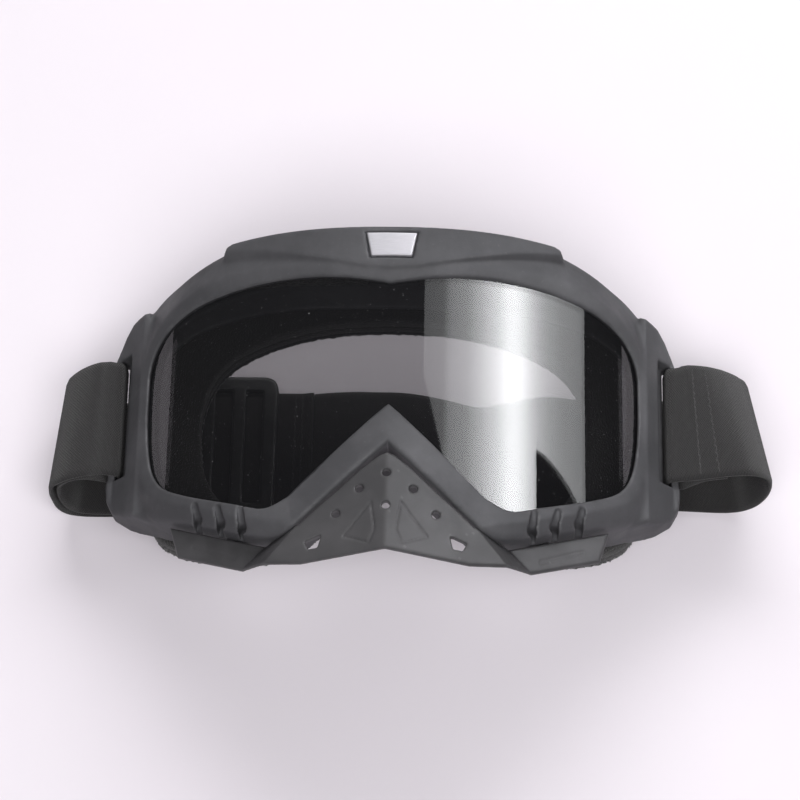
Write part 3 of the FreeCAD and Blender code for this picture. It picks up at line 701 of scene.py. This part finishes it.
def build_strap(material):
    line = curve(STRAP_LINE, 0.8)
    tangent = np.gradient(line, axis=0)
    tangent /= np.linalg.norm(tangent, axis=1)[:, None]
    out = np.stack([-tangent[:, 1], tangent[:, 0]], 1)
    length = np.concatenate([[0], np.cumsum(np.linalg.norm(np.diff(line, axis=0), axis=1))])
    half, thick = STRAP_WIDTH / 2, STRAP_THICK / 2
    v = np.concatenate([np.linspace(-half, half, 27), np.linspace(half, -half, 27)])
    w = np.sign(np.arange(54) - 26.5) * -thick
    bulge = np.abs(v) > half - 0.8
    v = np.where(np.abs(v) >= half, np.sign(v) * (half + 0.15), v)
    w = np.where(np.abs(v) >= half, w * 0.45, np.where(bulge, w * 1.08, w))
    x = line[:, :1] + out[:, :1] * w - loop_lean(line[:, :1]) * v / half
    z = np.maximum(line[:, 1:] * loop_height(line[:, :1], v / half) + out[:, 1:] * w, 0.03)
    wave = 0.25 * np.sin(length / 23.0)[:, None] * np.sign(v) * bulge
    y = STRAP_Y + v + loop_shift(line[:, :1], line[:, 1:]) + wave * (np.abs(line[:, :1]) > 94)
    points = np.stack([x, y, z], 2).reshape(-1, 3)
    m, n = x.shape
    index = np.arange(m * n).reshape(m, n)
    across = np.roll(index, -1, axis=1)
    faces = np.stack([index[:-1], index[1:], across[1:], across[:-1]], 2).reshape(-1, 4).tolist()
    half_n = n // 2
    for row, flip in ((0, False), (m - 1, True)):
        ring_ids = index[row]
        for k in range(half_n - 1):
            quad = [ring_ids[k], ring_ids[k + 1], ring_ids[n - 2 - k], ring_ids[n - 1 - k]]
            faces.append(quad[::-1] if flip else quad)
    uv = np.stack([np.broadcast_to(length[:, None], x.shape), np.broadcast_to(v, x.shape)], 2).reshape(-1, 2)
    strap = make_piece("strap_webbing", points, faces, material, "goggles", "strap", uv)
    return line, length


STITCHES, FIRST_STITCH, STITCH_PITCH = 26, -17.5, 1.4   # in a row across the strap
STITCH_LENGTH, STITCH_RADIUS = 1.7, 0.2


def stitch(centre, along, out):
    """A stitch of thread: an octagonal rod with tapered ends, half sunk in the cloth."""
    along, out = along.normalized(), out.normalized()
    side = along.cross(out)
    points, faces = [], []
    stations = [(-0.5, 0.25), (-0.42, 0.8), (-0.15, 1.0), (0.15, 1.0), (0.42, 0.8), (0.5, 0.25)]
    for at, fat in stations:
        for k in range(8):
            a = k * math.pi / 4
            radius = STITCH_RADIUS * fat
            lift = out * (math.sin(a) * radius * 0.8) + side * (math.cos(a) * radius)
            points.append(centre + along * (at * STITCH_LENGTH) + lift)
    for s in range(len(stations) - 1):
        for k in range(8):
            a, b = s * 8 + k, s * 8 + (k + 1) % 8
            faces.append([a, b, b + 8, a + 8])
    faces.append(list(range(7, -1, -1)))
    last = (len(stations) - 1) * 8
    faces.append([last + k for k in range(8)])
    return points, faces


def build_threads(material, line, length):
    rows = {"end": [38.0, 43.5], "tail": [length[-1] - 4.0, length[-1] - 6.2]}
    for name, places in rows.items():
        points, faces = [], []
        for at in places:
            k = int(np.searchsorted(length, at))
            run_x, run_z = line[k + 1] - line[k - 1]
            tangent = Vector((run_x, 0, run_z)).normalized()
            out = Vector((-tangent.z, 0, tangent.x))
            out = out if out.z > 0 else -out
            for step in range(STITCHES):
                v = FIRST_STITCH + STITCH_PITCH * step
                lean = 0.4 if step % 2 else -0.4
                x, z = line[k]
                share = v / (STRAP_WIDTH / 2)
                y = STRAP_Y + v + float(loop_shift(x, z))
                middle = Vector((x - float(loop_lean(x)) * share, y, z * float(loop_height(x, share))))
                middle += out * (STRAP_THICK / 2 - 0.02)
                p, f = stitch(middle, Vector((0, 1, 0)) + tangent * lean, out)
                faces += [[i + len(points) for i in face] for face in f]
                points += p
        node = f"{name}_stitching"
        faces = np.array(faces, dtype=object)
        make_piece(node + "_thread", [tuple(p) for p in points], faces, material, "goggles", node)


# ---- stage -----------------------------------------------------------------------------------------------
CAMERA_TARGET = Vector((2.9, -6.0, 60.0)) * MM
CAMERA_DISTANCE = 0.8
CAMERA_TILT, CAMERA_SIDE, CAMERA_ROLL = (math.radians(a) for a in (69.0, 1.6, 0.6))
CAMERA_ZOOM = 3.17           # focal length in image widths
SENSOR = 36.0
LIGHT_TARGET = Vector((0, 0, 0.04))
# The softbox is swung to the right about a line along Y, at SOFTBOX_PIVOT above the table. In metres.
SOFTBOX_ANGLE, SOFTBOX_FAR, SOFTBOX_Y, SOFTBOX_PIVOT = math.radians(45), 0.9, 0.33, 0.06
# Its outline: x from the overhead side to the lower side, y along the goggles' Y.
SOFTBOX_EDGE = [(-0.30, -0.375), (0.19, -0.375), (0.19, -0.038), (0.6, -0.038), (0.6, 0.375), (-0.6, 0.375),
                (-0.6, 0.085), (-0.30, -0.087)]
# Brightness across the softbox, from its overhead edge to its lower one, and the emission where it is 1.
SOFTBOX_GLOW = [(-0.6, 0.07), (-0.44, 0.09), (-0.39, 0.18), (-0.27, 0.25), (-0.167, 0.44), (-0.065, 0.70),
                (0, 0.95), (0.045, 1), (0.093, 0.876), (0.147, 0.642), (0.206, 0.45), (0.28, 0.32),
                (0.39, 0.232), (0.543, 0.18), (0.6, 0.175)]
SOFTBOX_PEAK = 17.5
FLOOR_X, FLOOR_Y = (-0.45, 0.4), (-0.9, 1.1)


def build_camera():
    low, high = math.cos(CAMERA_TILT), math.sin(CAMERA_TILT)
    near, aside = math.cos(CAMERA_SIDE), math.sin(CAMERA_SIDE)
    back = Vector((aside, -low * near, high * near))
    right = Vector((near, aside * low, -aside * high))
    up = back.cross(right)
    c, s = math.cos(CAMERA_ROLL), math.sin(CAMERA_ROLL)
    right, up = c * right + s * up, c * up - s * right
    data = bpy.data.cameras.new("camera")
    data.sensor_width = SENSOR
    data.lens = SENSOR * CAMERA_ZOOM
    camera = bpy.data.objects.new("camera", data)
    bpy.context.collection.objects.link(camera)
    turn = Matrix((right, up, back)).transposed().to_4x4()
    camera.matrix_world = Matrix.Translation(CAMERA_TARGET + back * CAMERA_DISTANCE) @ turn
    bpy.context.scene.camera = camera


def area_light(name, place, size, power):
    data = bpy.data.lights.new(name, "AREA")
    data.shape = "RECTANGLE"
    data.size, data.size_y = size
    data.energy = power
    lamp = bpy.data.objects.new(name, data)
    bpy.context.collection.objects.link(lamp)
    lamp.location = place
    lamp.rotation_euler = (LIGHT_TARGET - Vector(place)).to_track_quat("-Z", "Y").to_euler()


def softbox():
    """A box of light on the right, brightest down its middle, that the lens mirrors as a soft band."""
    n = Nodes("softbox_glow")
    n.tree.nodes.remove(n.shader)
    across = n.tree.nodes.new("ShaderNodeSeparateXYZ")
    n.set(across.inputs[0], n.place())
    width = SOFTBOX_GLOW[-1][0] - SOFTBOX_GLOW[0][0]
    ramp = n.tree.nodes.new("ShaderNodeValToRGB")
    n.set(ramp.inputs[0], n.spread(across.outputs[0], -width / 2, width / 2))
    stops = ramp.color_ramp.elements
    while len(stops) < len(SOFTBOX_GLOW):
        stops.new(0.5)
    for stop, (x, glow) in zip(stops, SOFTBOX_GLOW):
        stop.position = x / width + 0.5
        stop.color = (glow, glow, glow, 1)
    strength = n.math("MULTIPLY", ramp.outputs[0], SOFTBOX_PEAK)
    emission = n.add("ShaderNodeEmission", {"Color": (0.97, 0.98, 1.0, 1), "Strength": strength})
    n.tree.links.new(emission, n.tree.nodes["Material Output"].inputs["Surface"])
    mesh = bpy.data.meshes.new("softbox")
    mesh.from_pydata([(x, y, 0) for x, y in SOFTBOX_EDGE], [], [range(len(SOFTBOX_EDGE))[::-1]])
    mesh.materials.append(n.material)
    box = bpy.data.objects.new("softbox", mesh)
    bpy.context.collection.objects.link(box)
    aside, above = SOFTBOX_FAR * math.sin(SOFTBOX_ANGLE), SOFTBOX_FAR * math.cos(SOFTBOX_ANGLE)
    box.location = (aside, SOFTBOX_Y, SOFTBOX_PIVOT + above)
    box.rotation_euler = (0, SOFTBOX_ANGLE, 0)
    box.visible_camera = False
    box.visible_diffuse = False


def build_floor():
    n = Nodes("paper")
    mottle = n.spread(n.noise(6, 3), 0.3, 0.7)
    colour = n.mix(mottle, (0.79, 0.737, 0.795, 1), (0.81, 0.757, 0.815, 1))
    paper = n.finish(Base_Color=colour, Roughness=0.7, Normal=n.bump(n.noise(900, 3), 0.00003, 0.3))
    mesh = bpy.data.meshes.new("floor")
    (x0, x1), (y0, y1) = FLOOR_X, FLOOR_Y
    mesh.from_pydata([(x0, y0, 0), (x1, y0, 0), (x1, y1, 0), (x0, y1, 0)], [], [(0, 1, 2, 3)])
    mesh.materials.append(paper)
    floor = bpy.data.objects.new("floor", mesh)
    bpy.context.collection.objects.link(floor)


def build_stage():
    bpy.context.scene.view_settings.view_transform = "Standard"
    build_camera()
    build_floor()
    area_light("back_soft", (0.2, 1.2, 1.1), (1.8, 0.9), 25)
    area_light("over_camera", (0.15, -0.75, 1.35), (1.5, 0.8), 22)
    softbox()
    world = bpy.data.worlds.new("studio")
    world.use_nodes = True
    world.node_tree.nodes["Background"].inputs["Color"].default_value = (1.0, 0.985, 1.0, 1)
    world.node_tree.nodes["Background"].inputs["Strength"].default_value = 0.07
    bpy.context.scene.world = world


def main():
    foam = open_foam("face_foam", 0.014, 1500, 0.0005)
    build_frame(moulded_rubber())
    build_lens(smoke_lens())
    build_badge(silver_inlay())
    build_guard(guard_plastic())
    foams = {"foam_base": (foam, "foam"), "foam_core": (foam, "foam"), "fleece_liner": (fleece(), "fleece")}
    build_foam(foams)
    build_filters(open_foam("filter_foam", 0.035, 800, 0.0008))
    line, length = build_strap(webbing())
    build_slider(slider_plastic())
    build_threads(thread(), line, length)
    build_stage()


main()
